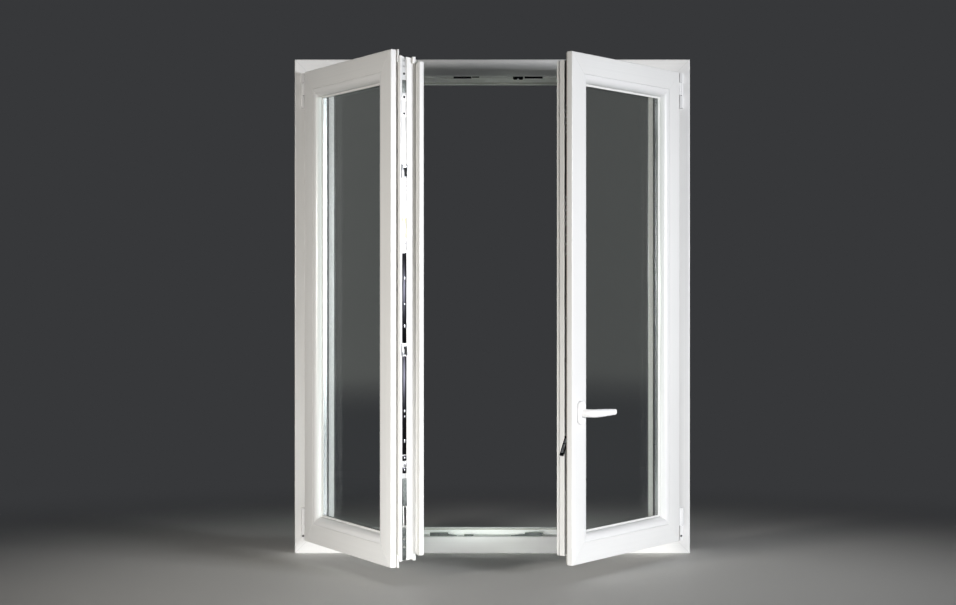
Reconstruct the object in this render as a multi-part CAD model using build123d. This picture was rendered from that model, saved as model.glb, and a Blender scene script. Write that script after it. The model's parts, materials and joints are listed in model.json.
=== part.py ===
from build123d import *
import os

os.makedirs("parts", exist_ok=True)

# Outline of the frame in mm. X runs across, Z up, and the room is on the -Y side.
WIDTH = 1200
HEIGHT = 1500
DEPTH = 70
ROOM = -DEPTH / 2
OUTSIDE = DEPTH / 2

# Frame section: a base all round, and a stop flange that stands inward at the outside.
BASE = 51
STOP_HEIGHT = 20
FRAME_EDGE_ROUND = 3
FIXING_HOLE = 10.2
FIXING_SPACING = 600
DRAIN_LENGTH = 28
DRAIN_WIDTH = 5

# Leaf section. Depth d runs outward from the leaf's room face, height s inward from its edge.
REVEAL = 43
MEETING_GAP = 5
FACE_OFFSET = 22
LEAF_FACE = ROOM - FACE_OFFSET
FLANGE_HEIGHT = 20
FLANGE_THICK = 17
BODY_DEPTH = 67
STOP_GAP = 5
STOP_FACE = LEAF_FACE + BODY_DEPTH + STOP_GAP
STILE = 57
BEAD_HEIGHT = 24
SIGHT = STILE + BEAD_HEIGHT
GLAZING_REBATE = 45
LIP_SLOPE = 5
EDGE_ROUND = 2

# Hardware groove in the edge of each leaf.
GROOVE_WIDTH = 12
GROOVE_AXIS = 35
GROOVE_DEEP = 9
GROOVE_NEAR = GROOVE_AXIS - GROOVE_WIDTH / 2
GROOVE_FAR = GROOVE_AXIS + GROOVE_WIDTH / 2

# Glass unit: two panes with a spacer between, held between two gaskets.
BEAD_DEPTH = 19
BEAD_STEP = 0.6
BEAD_CURVE = ((BEAD_STEP, 3), (1.5, 9), (4, 14.5), (8, 19), (13, 22), (BEAD_DEPTH, BEAD_HEIGHT))
GLASS_GASKET = 3
PANE = 4
CAVITY = 12
GLASS_EDGE = STILE + 5
GASKET_LIP = 1.2
GLASS_LIP = 5
GLASS_LIP_THICK = 1.2
INNER_PANE = BEAD_DEPTH + GLASS_GASKET
OUTER_PANE = INNER_PANE + PANE + CAVITY

# Gaskets between leaf and frame: each ends this far short of the face it closes on.
SEAL_CLEAR = 0.4
SEAL_AT = 2
SEAL_WIDE = 4
STOP_SEAL_AT = BASE + 13

# Hinge axis, outside the leaf's edge and in front of the frame's face.
AXIS_OUT = 14
AXIS_Y = LEAF_FACE + 3
KNUCKLE = 12
KNUCKLE_ROUND = 3
PIN = 6
RUNNING = 0.05
KNUCKLE_GAP = 0.6
LEFT_OPEN = 58
RIGHT_OPEN = 52
LOWER_HINGE = (44, 88, 141)
UPPER_HINGE = (HEIGHT - 150, HEIGHT - 112, HEIGHT - 74, HEIGHT - 45)
HINGE_PLATE = 2.5

# Floating mullion on the edge of the left leaf. w runs outward from that leaf's free edge.
LEG_REACH = 13
LEG_THICK = 4
MULLION_FLOOR = 12
MULLION_FLANGE = 32
MULLION_FLANGE_FACE = BODY_DEPTH + STOP_GAP
MULLION_OUT = MULLION_FLANGE_FACE + 14
MULLION_COVER = 36
MULLION_GROOVE_DEEP = 6
MULLION_SHADOW = 3
MULLION_END = 17
COVER_END = 5
CAP_THICK = 8
CAP_SLOPE = 6

# Hardware along the mullion's edge.
PLATE_THICK = 3
PLATE_SLACK = 0.2
PLATE_LOW = 68
PLATE_HIGH = HEIGHT - 124
ROD_SPANS = ((351, 620), (655, 902))
RAISED_SPANS = ((PLATE_LOW, 152), (HEIGHT - 557, HEIGHT - 426), (HEIGHT - 162, PLATE_HIGH))
CATCH_SPANS = ((302, 350), (621, 654), (HEIGHT - 393, HEIGHT - 357))
RIGHT_PLATE_TOP = HEIGHT - 100
LEVER_TOP = 286
LEVER_LOOP = 209
LEVER_END = 153
LEVER_OUT = 7

# Catches on the sill and the head: the outline of each, as (x, height above the rebate's floor).
CATCH_WIDE = 9
SILL_CATCHES = (
    ((-190, 0), (-190, 10), (-135, 10), (-135, 6), (-108, 1), (-108, 0)),
    ((-86, 0), (-86, 4), (-57, 4), (-57, 0)),
    ((57, 0), (57, 1), (84, 4), (99, 5), (99, 10), (154, 10), (154, 0)),
)
HEAD_CATCHES = (
    ((-118, 0), (-118, 5), (-64, 5), (-64, 0)),
    ((-62, 0), (-62, 2.5), (-40, 2.5), (-40, 0)),
    ((63, 0), (63, 6), (66, 9), (74, 9), (77, 5), (80, 5), (83, 9), (91, 9), (94, 6), (94, 0)),
    ((98, 0), (98, 5), (153, 5), (153, 0)),
)

# Handle on the right leaf, and the small lifting lever in its edge.
HANDLE_S = 37
HANDLE_Z = 461
ROSE_HIGH = 66
ROSE_WIDE = 30
ROSE_THICK = 11
NECK = 18
NECK_SEAT = 8
LEVER_REACH = 114
LEVER_BACK = 28
LEVER_DEEP = 13
LIFTER_Z = 390
LIFTER_LONG = 52
LIFTER_WIDE = 8
LIFTER_THICK = 5
LIFTER_PIN = 3
LIFTER_OUT = 26
CHEEK = 1.4

LEAF_LOW = REVEAL
LEAF_HIGH = HEIGHT - REVEAL
LEFT_BOX = (-WIDTH / 2 + REVEAL, -MEETING_GAP / 2, LEAF_LOW, LEAF_HIGH)
RIGHT_BOX = (MEETING_GAP / 2, WIDTH / 2 - REVEAL, LEAF_LOW, LEAF_HIGH)
AXIS_X = WIDTH / 2 - REVEAL + AXIS_OUT


def depth(d):
    """Row Y of a depth d below the leaf's room face."""
    return LEAF_FACE + d


def block(x, y, z):
    """A box between two limits on each axis."""
    size = (x[1] - x[0], y[1] - y[0], z[1] - z[0])
    middle = ((x[0] + x[1]) / 2, (y[0] + y[1]) / 2, (z[0] + z[1]) / 2)
    return Pos(*middle) * Box(*size)


def section(points, rounds=()):
    """A flat face through the points, with the named corners rounded."""
    face = make_face(Polyline(*points, close=True))
    for corner, radius in rounds:
        near = face.vertices().sort_by_distance((*corner, 0))[0]
        face = fillet(near, radius)
    return face


def mitred_bar(face, length, reach):
    """A section of (depth, height) run along X, with both ends cut at 45 degrees."""
    half = length / 2
    bar = extrude(Plane.YZ * face, amount=half, both=True)
    ends = [(-half, 0), (half, 0), (half - reach, reach), (reach - half, reach)]
    wedge = extrude(Plane.XZ * section(ends), amount=2 * DEPTH, both=True)
    return bar & wedge


def ring(face, box, reach):
    """Four mitred bars that run round a box (left, right, low, high)."""
    left, right, low, high = box
    across = mitred_bar(face, right - left, reach)
    upright = mitred_bar(face, high - low, reach)
    x = (left + right) / 2
    z = (low + high) / 2
    return {
        "bottom": Pos(x, 0, low) * across,
        "top": Pos(x, 0, high) * Rot(0, 180, 0) * across,
        "left": Pos(left, 0, z) * Rot(0, 90, 0) * upright,
        "right": Pos(right, 0, z) * Rot(0, -90, 0) * upright,
    }


def joined(bars):
    """The four bars of a ring as one piece."""
    return bars["bottom"] + bars["top"] + bars["left"] + bars["right"]


def left_at_rest(piece):
    """Swing a piece of the left leaf from closed to where the leaf stands open."""
    return Pos(-AXIS_X, AXIS_Y, 0) * Rot(0, 0, -LEFT_OPEN) * Pos(AXIS_X, -AXIS_Y, 0) * piece


def right_at_rest(piece):
    """Swing a piece of the right leaf from closed to where the leaf stands open."""
    return Pos(AXIS_X, AXIS_Y, 0) * Rot(0, 0, RIGHT_OPEN) * Pos(-AXIS_X, -AXIS_Y, 0) * piece


def keep(name, *solids):
    """Write one node; several solids in it do not touch."""
    piece = solids[0] if len(solids) == 1 else Compound(children=list(solids))
    export_step(piece, f"parts/{name}.step")


# Frame: four mitred bars of one section.
def frame_bars():
    reach = BASE + STOP_HEIGHT
    points = [
        (ROOM, 0),
        (ROOM, BASE),
        (STOP_FACE, BASE),
        (STOP_FACE, reach),
        (OUTSIDE, reach),
        (OUTSIDE, 0),
    ]
    rounds = [
        ((ROOM, 0), FRAME_EDGE_ROUND),
        ((ROOM, BASE), EDGE_ROUND),
        ((STOP_FACE, reach), EDGE_ROUND),
        ((OUTSIDE, reach), EDGE_ROUND),
    ]
    box = (-WIDTH / 2, WIDTH / 2, 0, HEIGHT)
    return ring(section(points, rounds), box, reach)


def fixing_holes(side):
    """Bores across a jamb for the anchors that hold the frame in the wall."""
    x = side * (WIDTH / 2 - BASE / 2)
    bore = Rot(0, 90, 0) * Cylinder(FIXING_HOLE / 2, 2 * BASE)
    return [
        Pos(x, 0, HEIGHT / 2 + step * FIXING_SPACING) * bore
        for step in (-1, 0, 1)
    ]


def drain_slots():
    """Slots in the outer face of the sill that let the rebate drain."""
    slot = Rot(90, 0, 0) * extrude(SlotOverall(DRAIN_LENGTH, DRAIN_WIDTH), amount=12, both=True)
    return [Pos(x, OUTSIDE, BASE / 2) * slot for x in (-WIDTH / 3, 0, WIDTH / 3)]


# Leaves: rails and stiles, beads, glass and gaskets.
def leaf_section():
    """Flange, body with the hardware groove, glazing rebate and sloped outer lip."""
    floor = FLANGE_HEIGHT + GROOVE_DEEP
    points = [
        (depth(0), 0),
        (depth(0), STILE),
        (depth(GLAZING_REBATE), STILE),
        (depth(GLAZING_REBATE), SIGHT),
        (depth(BODY_DEPTH), SIGHT - LIP_SLOPE),
        (depth(BODY_DEPTH), FLANGE_HEIGHT),
        (depth(GROOVE_FAR), FLANGE_HEIGHT),
        (depth(GROOVE_FAR), floor),
        (depth(GROOVE_NEAR), floor),
        (depth(GROOVE_NEAR), FLANGE_HEIGHT),
        (depth(FLANGE_THICK), FLANGE_HEIGHT),
        (depth(FLANGE_THICK), 0),
    ]
    rounds = [
        ((depth(0), 0), EDGE_ROUND),
        ((depth(GLAZING_REBATE), SIGHT), 1),
        ((depth(BODY_DEPTH), SIGHT - LIP_SLOPE), EDGE_ROUND),
    ]
    return section(points, rounds)


def bead_section():
    """Clip-in bead that holds the glass, with one soft curve from the stile's face to the glass."""
    curve = [(depth(d), STILE + height) for d, height in BEAD_CURVE]
    back = (depth(BEAD_DEPTH), STILE)
    front = (depth(BEAD_STEP), STILE)
    edges = [Line(front, curve[0]), Spline(*curve), Line(curve[-1], back), Line(back, front)]
    return make_face(edges)


def strip(near, far, low, high):
    """A rectangular section between two depths and two heights."""
    return section([(depth(near), low), (depth(near), high), (depth(far), high), (depth(far), low)])


def leaf_seal():
    """Gasket on the back of the flange, closing on the face of the frame."""
    tip = depth(FACE_OFFSET - SEAL_CLEAR)
    back = depth(FLANGE_THICK)
    points = [
        (back, SEAL_AT),
        (back, SEAL_AT + SEAL_WIDE),
        (tip, SEAL_AT + SEAL_WIDE - 1),
        (tip, SEAL_AT + 1),
    ]
    return section(points)


def panes(box):
    """The two panes of the sealed unit."""
    x = (box[0] + GLASS_EDGE, box[1] - GLASS_EDGE)
    z = (box[2] + GLASS_EDGE, box[3] - GLASS_EDGE)
    inner = block(x, (depth(INNER_PANE), depth(INNER_PANE + PANE)), z)
    outer = block(x, (depth(OUTER_PANE), depth(OUTER_PANE + PANE)), z)
    return inner, outer


def glazing_gaskets(box):
    """The gasket in the bead, whose lip lies on the glass, and the one on the outer lip."""
    lip = SIGHT + GLASS_LIP
    near = INNER_PANE - GLASS_LIP_THICK
    points = [
        (depth(BEAD_DEPTH), GLASS_EDGE),
        (depth(BEAD_DEPTH), SIGHT),
        (depth(near), SIGHT + GASKET_LIP),
        (depth(near), lip),
        (depth(INNER_PANE), lip),
        (depth(INNER_PANE), GLASS_EDGE),
    ]
    inner = ring(section(points), box, lip)
    top = SIGHT + GASKET_LIP
    outer = ring(strip(OUTER_PANE + PANE, GLAZING_REBATE, GLASS_EDGE, top), box, top)
    return joined(inner), joined(outer)


def leaf(side, box, at_rest, hinge_edge, free_edge):
    """Write every piece that both leaves have."""
    bars = ring(leaf_section(), box, SIGHT)
    beads = ring(bead_section(), box, SIGHT)
    names = {"top": "top", "bottom": "bottom", hinge_edge: "hinge", free_edge: "lock"}
    for edge, name in names.items():
        kind = "rail" if name in ("top", "bottom") else "stile"
        keep(f"{side}_{kind}_{name}", at_rest(bars[edge]))
        keep(f"{side}_bead_{name}", at_rest(beads[edge]))
    inner, outer = panes(box)
    keep(f"{side}_glass", at_rest(inner), at_rest(outer))
    spacer = ring(strip(INNER_PANE + PANE, OUTER_PANE, GLASS_EDGE, SIGHT), box, SIGHT)
    keep(f"{side}_glass_spacer", at_rest(joined(spacer)))
    inner, outer = glazing_gaskets(box)
    keep(f"{side}_glazing_gaskets", at_rest(inner), at_rest(outer))
    seal = ring(leaf_seal(), box, SEAL_AT + SEAL_WIDE)
    keep(f"{side}_leaf_seal", at_rest(joined(seal)))


# Hinges: drawn for the left side, and mirrored for the right.
def upright_rod(diameter, low, high):
    """A round bar on the left hinge axis."""
    rod = extrude(Circle(diameter / 2), amount=high - low)
    return Pos(-AXIS_X, AXIS_Y, low) * rod


def knuckle(low, high):
    """A square knuckle with rounded edges on the left hinge axis."""
    outline = RectangleRounded(KNUCKLE, KNUCKLE, KNUCKLE_ROUND)
    return Pos(-AXIS_X, AXIS_Y, low) * extrude(outline, amount=high - low)


def frame_knuckle(low, high):
    """A knuckle whose block stands on the face of the frame."""
    foot = block((-AXIS_X - KNUCKLE / 2, -AXIS_X + KNUCKLE / 2), (AXIS_Y, ROOM), (low, high))
    return knuckle(low, high) + foot


def leaf_knuckle(low, high):
    """A bored knuckle with an arm and a plate on the edge of the leaf."""
    edge = -AXIS_X + AXIS_OUT
    arm = block((-AXIS_X, edge), (AXIS_Y - 3, AXIS_Y + 5), (low, high))
    plate = block((edge - HINGE_PLATE, edge), (depth(EDGE_ROUND), depth(FLANGE_THICK - 1)), (low, high))
    solid = knuckle(low, high) + arm + plate
    return solid - upright_rod(PIN + 2 * RUNNING, low, high)


def frame_hinges():
    """Lower pivot and upper bearing, each with its pin."""
    low, middle, high = LOWER_HINGE
    lower = frame_knuckle(low, middle) + upright_rod(PIN, middle, high - 4)
    first, second, third, last = UPPER_HINGE
    upper = frame_knuckle(first, second) + frame_knuckle(third, last) + upright_rod(PIN, second, third)
    return lower, upper


def leaf_hinges():
    """The knuckles that turn on those pins."""
    low, middle, high = LOWER_HINGE
    first, second, third, last = UPPER_HINGE
    lower = leaf_knuckle(middle + KNUCKLE_GAP, high)
    upper = leaf_knuckle(second + KNUCKLE_GAP, third - KNUCKLE_GAP)
    return lower, upper


def write_hinges():
    keep("left_frame_hinges", *frame_hinges())
    keep("right_frame_hinges", *[mirror(h, about=Plane.YZ) for h in frame_hinges()])
    keep("left_leaf_hinges", *[left_at_rest(h) for h in leaf_hinges()])
    mirrored = [mirror(h, about=Plane.YZ) for h in leaf_hinges()]
    keep("right_leaf_hinges", *[right_at_rest(h) for h in mirrored])


# Floating mullion: fixed on the left leaf's edge, it covers the joint of the closed leaves.
def beyond(w):
    """Row X of a distance w beyond the left leaf's free edge, with the leaf closed."""
    return LEFT_BOX[1] + w


def upright_section(points, low, high, rounds=()):
    """A section of (w, d) points run up from low to high."""
    placed = [(beyond(w), depth(d)) for w, d in points]
    soft = [((beyond(w), depth(d)), r) for (w, d), r in rounds]
    return Pos(0, 0, low) * extrude(section(placed, soft), amount=high - low)


def mullion():
    """Inner leg and body with its groove, and the outer cover that laps both leaves."""
    leg_back = FACE_OFFSET + LEG_THICK
    groove_floor = MULLION_FLOOR - MULLION_GROOVE_DEEP
    inner = [
        (-FLANGE_HEIGHT, FACE_OFFSET),
        (LEG_REACH, FACE_OFFSET),
        (LEG_REACH, leg_back),
        (MULLION_FLOOR, leg_back),
        (MULLION_FLOOR, GROOVE_NEAR),
        (groove_floor, GROOVE_NEAR),
        (groove_floor, GROOVE_FAR),
        (MULLION_FLOOR, GROOVE_FAR),
        (MULLION_FLOOR, BODY_DEPTH),
        (-FLANGE_HEIGHT, BODY_DEPTH),
    ]
    outer = [
        (-MULLION_COVER, BODY_DEPTH),
        (MULLION_FLOOR - MULLION_SHADOW, BODY_DEPTH),
        (MULLION_FLOOR - MULLION_SHADOW, MULLION_FLANGE_FACE),
        (MULLION_FLANGE, MULLION_FLANGE_FACE),
        (MULLION_FLANGE, MULLION_OUT),
        (-MULLION_COVER, MULLION_OUT),
    ]
    soft = [
        ((MULLION_FLANGE, MULLION_FLANGE_FACE), 1),
        ((MULLION_FLANGE, MULLION_OUT), 3),
        ((-MULLION_COVER, MULLION_OUT), 3),
    ]
    low, high = body_ends()
    body = upright_section(inner, low, high, [((LEG_REACH, FACE_OFFSET), 1)])
    stop = BASE + STOP_HEIGHT + COVER_END
    return body + upright_section(outer, stop, HEIGHT - stop, soft)


def body_ends():
    """Heights between which the mullion's body runs."""
    return BASE + MULLION_END, HEIGHT - BASE - MULLION_END


def mullion_cap():
    """Moulded cap on the lower end, open at the groove, with a tab towards each face."""
    low = body_ends()[0]
    end = low - CAP_THICK
    leg_back = FACE_OFFSET + LEG_THICK
    groove_floor = MULLION_FLOOR - MULLION_GROOVE_DEEP
    cover = [
        (2 - FLANGE_HEIGHT, FACE_OFFSET),
        (LEG_REACH, FACE_OFFSET),
        (LEG_REACH, leg_back),
        (MULLION_FLOOR, leg_back),
        (MULLION_FLOOR, GROOVE_NEAR),
        (groove_floor, GROOVE_NEAR),
        (groove_floor, GROOVE_FAR),
        (MULLION_FLOOR, GROOVE_FAR),
        (MULLION_FLOOR, BODY_DEPTH - 1),
        (2 - FLANGE_HEIGHT, BODY_DEPTH - 1),
    ]
    plate = upright_section(cover, end, low)
    slope = [(depth(FACE_OFFSET), end), (depth(BODY_DEPTH), end), (depth(BODY_DEPTH), end + CAP_SLOPE)]
    plate -= extrude(Plane.YZ * section(slope), amount=FLANGE_THICK * 3, both=True)
    near = FLANGE_THICK + 1
    tab = block((beyond(0), beyond(6.5)), (depth(near), depth(FACE_OFFSET)), (end, low + 10))
    nose = block(
        (beyond(0), beyond(6.5)),
        (depth(near), depth(FACE_OFFSET - SEAL_CLEAR)),
        (LEAF_LOW, end),
    )
    outer = block(
        (beyond(MULLION_FLOOR), beyond(20)),
        (depth(58), depth(BODY_DEPTH - 1)),
        (end + 2, low + 12),
    )
    return plate + tab + nose + outer


def mullion_seal():
    """Gasket on the mullion's outer flange, closing on the right leaf."""
    low = BASE + STOP_HEIGHT + COVER_END
    near = BODY_DEPTH + SEAL_CLEAR
    points = [
        (MULLION_FLANGE - 5, MULLION_FLANGE_FACE),
        (MULLION_FLANGE - 4, near),
        (MULLION_FLANGE - 2, near),
        (MULLION_FLANGE - 1, MULLION_FLANGE_FACE),
    ]
    return upright_section(points, low, HEIGHT - low)


# Locking hardware in the groove of the mullion.
def on_groove(w, d, z):
    """A box in the mullion's groove, given as (w, d, z) limits."""
    return block((beyond(w[0]), beyond(w[1])), (depth(d[0]), depth(d[1])), z)


def gear_plate():
    """Face plate on the groove's floor, with the locking bars and the corner plates on it."""
    floor = MULLION_FLOOR - MULLION_GROOVE_DEEP
    top = floor + PLATE_THICK
    d = (GROOVE_NEAR + PLATE_SLACK, GROOVE_FAR - PLATE_SLACK)
    inner = (d[0] + 1.5, d[1] - 1.5)
    plate = on_groove((floor, top), d, (PLATE_LOW, PLATE_HIGH))
    for span in ROD_SPANS:
        plate += on_groove((top, top + 3), inner, span)
    for span in RAISED_SPANS:
        plate += on_groove((top, top + 1.5), d, span)
    return plate


def gear_strikers():
    """Catches that bridge the groove's edges, for the bolts of the right leaf."""
    floor = MULLION_FLOOR - MULLION_GROOVE_DEEP + PLATE_THICK
    d = (GROOVE_NEAR + PLATE_SLACK, GROOVE_FAR - PLATE_SLACK)
    catches = []
    for span in CATCH_SPANS:
        core = on_groove((floor, MULLION_FLOOR), d, span)
        wide = (GROOVE_NEAR - 3, GROOVE_FAR + 3)
        catches.append(core + on_groove((MULLION_FLOOR, MULLION_FLOOR + 4), wide, span))
    return catches


def gear_lever():
    """The lever that throws the bolts: a body and a loop, leaning out of the groove."""
    floor = MULLION_FLOOR - MULLION_GROOVE_DEEP + PLATE_THICK
    wide = (GROOVE_AXIS - 5, GROOVE_AXIS + 5)
    outline = [
        (beyond(floor), LEVER_TOP),
        (beyond(MULLION_FLOOR + 1), LEVER_TOP),
        (beyond(MULLION_FLOOR + LEVER_OUT), LEVER_END),
        (beyond(MULLION_FLOOR + LEVER_OUT - 4), LEVER_END),
        (beyond(floor), LEVER_LOOP + 20),
    ]
    body = extrude(Plane.XZ * section(outline), amount=wide[1] - wide[0])
    body = Pos(0, depth(wide[1]), 0) * body
    gap = on_groove((0, 40), (GROOVE_AXIS - 2.5, GROOVE_AXIS + 2.5), (LEVER_END + 6, LEVER_LOOP - 4))
    return body - gap


# Catches on the sill and the head, which the bolts of the leaves slide into.
def catch(outline):
    """A catch on the rebate's floor at height 0, in line with the leaves' groove."""
    bar = extrude(Plane.XZ * section(outline), amount=CATCH_WIDE / 2, both=True)
    return Pos(0, depth(GROOVE_AXIS), 0) * bar


def sill_strikers():
    return [Pos(0, 0, BASE) * catch(outline) for outline in SILL_CATCHES]


def head_strikers():
    top = HEIGHT - BASE
    return [Pos(0, 0, top) * mirror(catch(outline), about=Plane.XY) for outline in HEAD_CATCHES]


# Handle and lifting lever of the right leaf.
def rose():
    """Oval plate with the bore that the handle's neck turns in."""
    x = RIGHT_BOX[0] + HANDLE_S
    plate = extrude(Rot(0, 0, 90) * SlotOverall(ROSE_HIGH, ROSE_WIDE), amount=ROSE_THICK)
    plate = fillet(plate.faces().sort_by(Axis.Z)[-1].edges(), 3)
    plate -= Pos(0, 0, ROSE_THICK) * Cylinder(NECK / 2 + RUNNING, 2 * NECK_SEAT)
    return Pos(x, LEAF_FACE, HANDLE_Z) * Rot(90, 0, 0) * plate


def handle():
    """Neck and lever; the lever points to the hinges, as on an unlocked leaf."""
    back = ROSE_THICK + LEVER_BACK
    neck = Pos(0, 0, ROSE_THICK - NECK_SEAT) * extrude(Circle(NECK / 2), amount=NECK_SEAT + LEVER_BACK + 3)
    top = 11
    outline = make_face(
        [
            Line((-9, top - 4), (0, top)),
            Line((0, top), (LEVER_REACH - 6, top - 2)),
            Spline((LEVER_REACH - 6, top - 2), (LEVER_REACH, top - 8), (LEVER_REACH - 6, top - 16)),
            Spline((LEVER_REACH - 6, top - 16), (LEVER_REACH / 2, -9), (0, -11)),
            Line((0, -11), (-9, -7)),
            Line((-9, -7), (-9, top - 4)),
        ]
    )
    lever = Pos(0, 0, back) * extrude(outline, amount=LEVER_DEEP)
    lever = fillet(lever.faces().sort_by(Axis.Z)[-1].edges(), 3)
    x = RIGHT_BOX[0] + HANDLE_S
    return Pos(x, LEAF_FACE, HANDLE_Z) * Rot(90, 0, 0) * (neck + lever)


def lifter_axis():
    """Closed position of the lifting lever's pin: X, Y and Z."""
    s = FLANGE_HEIGHT + LIFTER_PIN
    return RIGHT_BOX[0] + s, depth(GROOVE_AXIS), LIFTER_Z


def cross_pin(diameter, width):
    """A round bar along Y on the lifting lever's axis."""
    return Pos(*lifter_axis()) * Rot(90, 0, 0) * Cylinder(diameter / 2, width)


def right_face_plate():
    """Face plate on the floor of the right leaf's groove, with the cheeks of the lifting lever."""
    x0 = RIGHT_BOX[0] + FLANGE_HEIGHT
    floor = x0 + GROOVE_DEEP
    d = (GROOVE_NEAR + PLATE_SLACK, GROOVE_FAR - PLATE_SLACK)
    plate = block((floor - PLATE_THICK, floor), (depth(d[0]), depth(d[1])), (PLATE_LOW, RIGHT_PLATE_TOP))
    for near, far in ((d[0], d[0] + CHEEK), (d[1] - CHEEK, d[1])):
        plate += block((x0 + 0.5, floor), (depth(near), depth(far)), (LIFTER_Z - 6, LIFTER_Z + 6))
    return plate + cross_pin(3, d[1] - d[0] - 1)


def lifter():
    """The lifting lever, flush in the groove on a closed leaf."""
    x, y, z = lifter_axis()
    half = LIFTER_THICK / 2
    bar = block((x - half, x + half), (y - LIFTER_WIDE / 2, y + LIFTER_WIDE / 2), (z - LIFTER_LONG, z))
    bar += cross_pin(LIFTER_THICK + 1, LIFTER_WIDE)
    bar -= cross_pin(3 + 2 * RUNNING, 2 * LIFTER_WIDE)
    return Pos(x, y, z) * Rot(0, LIFTER_OUT, 0) * Pos(-x, -y, -z) * bar


def write_frame():
    bars = frame_bars()
    sill = bars["bottom"]
    for slot in drain_slots():
        sill -= slot
    keep("frame_sill", sill)
    keep("frame_head", bars["top"])
    for side, name in ((-1, "left"), (1, "right")):
        jamb = bars[name]
        for hole in fixing_holes(side):
            jamb -= hole
        keep(f"frame_jamb_{name}", jamb)
    tip = depth(BODY_DEPTH + SEAL_CLEAR)
    seal = section(
        [
            (STOP_FACE, STOP_SEAL_AT),
            (STOP_FACE, STOP_SEAL_AT + SEAL_WIDE + 1),
            (tip, STOP_SEAL_AT + SEAL_WIDE),
            (tip, STOP_SEAL_AT + 1),
        ]
    )
    box = (-WIDTH / 2, WIDTH / 2, 0, HEIGHT)
    keep("frame_stop_seal", joined(ring(seal, box, STOP_SEAL_AT + SEAL_WIDE + 1)))
    keep("sill_strikers", *sill_strikers())
    keep("head_strikers", *head_strikers())


def write_mullion():
    keep("mullion_profile", left_at_rest(mullion()))
    low = mullion_cap()
    high = Pos(0, 0, HEIGHT) * mirror(low, about=Plane.XY)
    keep("mullion_caps", left_at_rest(low), left_at_rest(high))
    keep("mullion_seal", left_at_rest(mullion_seal()))
    keep("gear_plate", left_at_rest(gear_plate()))
    keep("gear_strikers", *[left_at_rest(s) for s in gear_strikers()])
    keep("gear_lever", left_at_rest(gear_lever()))


def write_right_hardware():
    keep("handle_rose", right_at_rest(rose()))
    keep("handle_lever", right_at_rest(handle()))
    keep("right_face_plate", right_at_rest(right_face_plate()))
    keep("lifting_lever", right_at_rest(lifter()))


write_frame()
leaf("left", LEFT_BOX, left_at_rest, "left", "right")
leaf("right", RIGHT_BOX, right_at_rest, "right", "left")
write_hinges()
write_mullion()
write_right_hardware()
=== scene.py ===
# %% [markdown]
# # Dressing a double casement window
# The window is made of white plastic bars that come out of a die as endless profiles.
# They are cut at 45 degrees and welded at the corners, and the two leaves stand open on hinges.
# The imported model gives every piece its true place, and this file gives each one its finish.
# It is loaded first.

# %% Load the imported window
import json
import math

import bmesh
import bpy
import numpy as np
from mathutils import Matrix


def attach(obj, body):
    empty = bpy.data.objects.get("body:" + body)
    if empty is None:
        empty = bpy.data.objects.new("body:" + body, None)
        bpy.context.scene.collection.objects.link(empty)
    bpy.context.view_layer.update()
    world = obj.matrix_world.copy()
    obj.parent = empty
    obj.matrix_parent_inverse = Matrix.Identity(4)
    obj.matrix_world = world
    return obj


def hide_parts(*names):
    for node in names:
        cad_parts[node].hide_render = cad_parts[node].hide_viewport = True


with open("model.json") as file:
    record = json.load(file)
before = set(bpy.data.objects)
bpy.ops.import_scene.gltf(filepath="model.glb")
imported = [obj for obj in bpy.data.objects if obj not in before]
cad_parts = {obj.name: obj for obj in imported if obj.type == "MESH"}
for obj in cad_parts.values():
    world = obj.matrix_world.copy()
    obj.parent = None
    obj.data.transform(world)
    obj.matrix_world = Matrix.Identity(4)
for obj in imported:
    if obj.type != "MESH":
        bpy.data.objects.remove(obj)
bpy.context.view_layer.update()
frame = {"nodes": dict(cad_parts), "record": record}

# %% [markdown]
# ## Camera
# A long lens on a level tripod keeps the jambs upright, as in a catalogue picture. Its place,
# its length and its small shift come from a fit of known corners of the window.

# %% Camera
PICTURE_WIDTH, FOCAL, SHIFT = 956, 1605.65, (-27.7, -15.05)  # in pixels of the picture
TRIPOD, SENSOR = (0.0407, -4.9105, 0.8075), 36  # in metres and in millimetres

camera = bpy.data.objects.new("camera", bpy.data.cameras.new("camera"))
bpy.context.scene.collection.objects.link(camera)
camera.location = TRIPOD
camera.rotation_euler = (math.radians(90), 0, 0)
camera.data.sensor_width = SENSOR
camera.data.lens = FOCAL * SENSOR / PICTURE_WIDTH
camera.data.shift_x = SHIFT[0] / PICTURE_WIDTH
camera.data.shift_y = SHIFT[1] / PICTURE_WIDTH
bpy.context.scene.camera = camera
bpy.context.scene.view_settings.view_transform = "Standard"
print("lens", round(camera.data.lens, 1), "mm")

# %% [markdown]
# ## Colours and nodes
# Colours are written as on a paint card, in sRGB hex, and one function undoes the screen's curve.
# Materials are trees of nodes. One function adds a node of any kind, with its settings, its
# values and its links, so that a finish reads as a short list of what it is made of.

# %% A colour from a paint card
def colour(code):
    """sRGB to linear light: each channel c becomes ((c + 0.055) / 1.055) to the power 2.4."""
    c = np.array([int(code[i : i + 2], 16) for i in (1, 3, 5)]) / 255
    linear = np.where(c <= 0.04045, c / 12.92, ((c + 0.055) / 1.055) ** 2.4)
    return (*linear.tolist(), 1.0)


# %% A node of any kind
def add(tree, kind, fields=(), values=(), links=()):
    """Add a node, set its fields and the values of its sockets, and link its inputs."""
    made = tree.nodes.new(kind)
    for name, value in dict(fields).items():
        setattr(made, name, value)
    for name, value in dict(values).items():
        made.inputs[name].default_value = value
    for name, (source, output) in dict(links).items():
        tree.links.new(source.outputs[output], made.inputs[name])
    return made


# %% The scale of a pattern
def per_metre(size):
    """How many marks of this size in millimetres fit in a metre, as a whole number."""
    return round(1000 / size)


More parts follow.
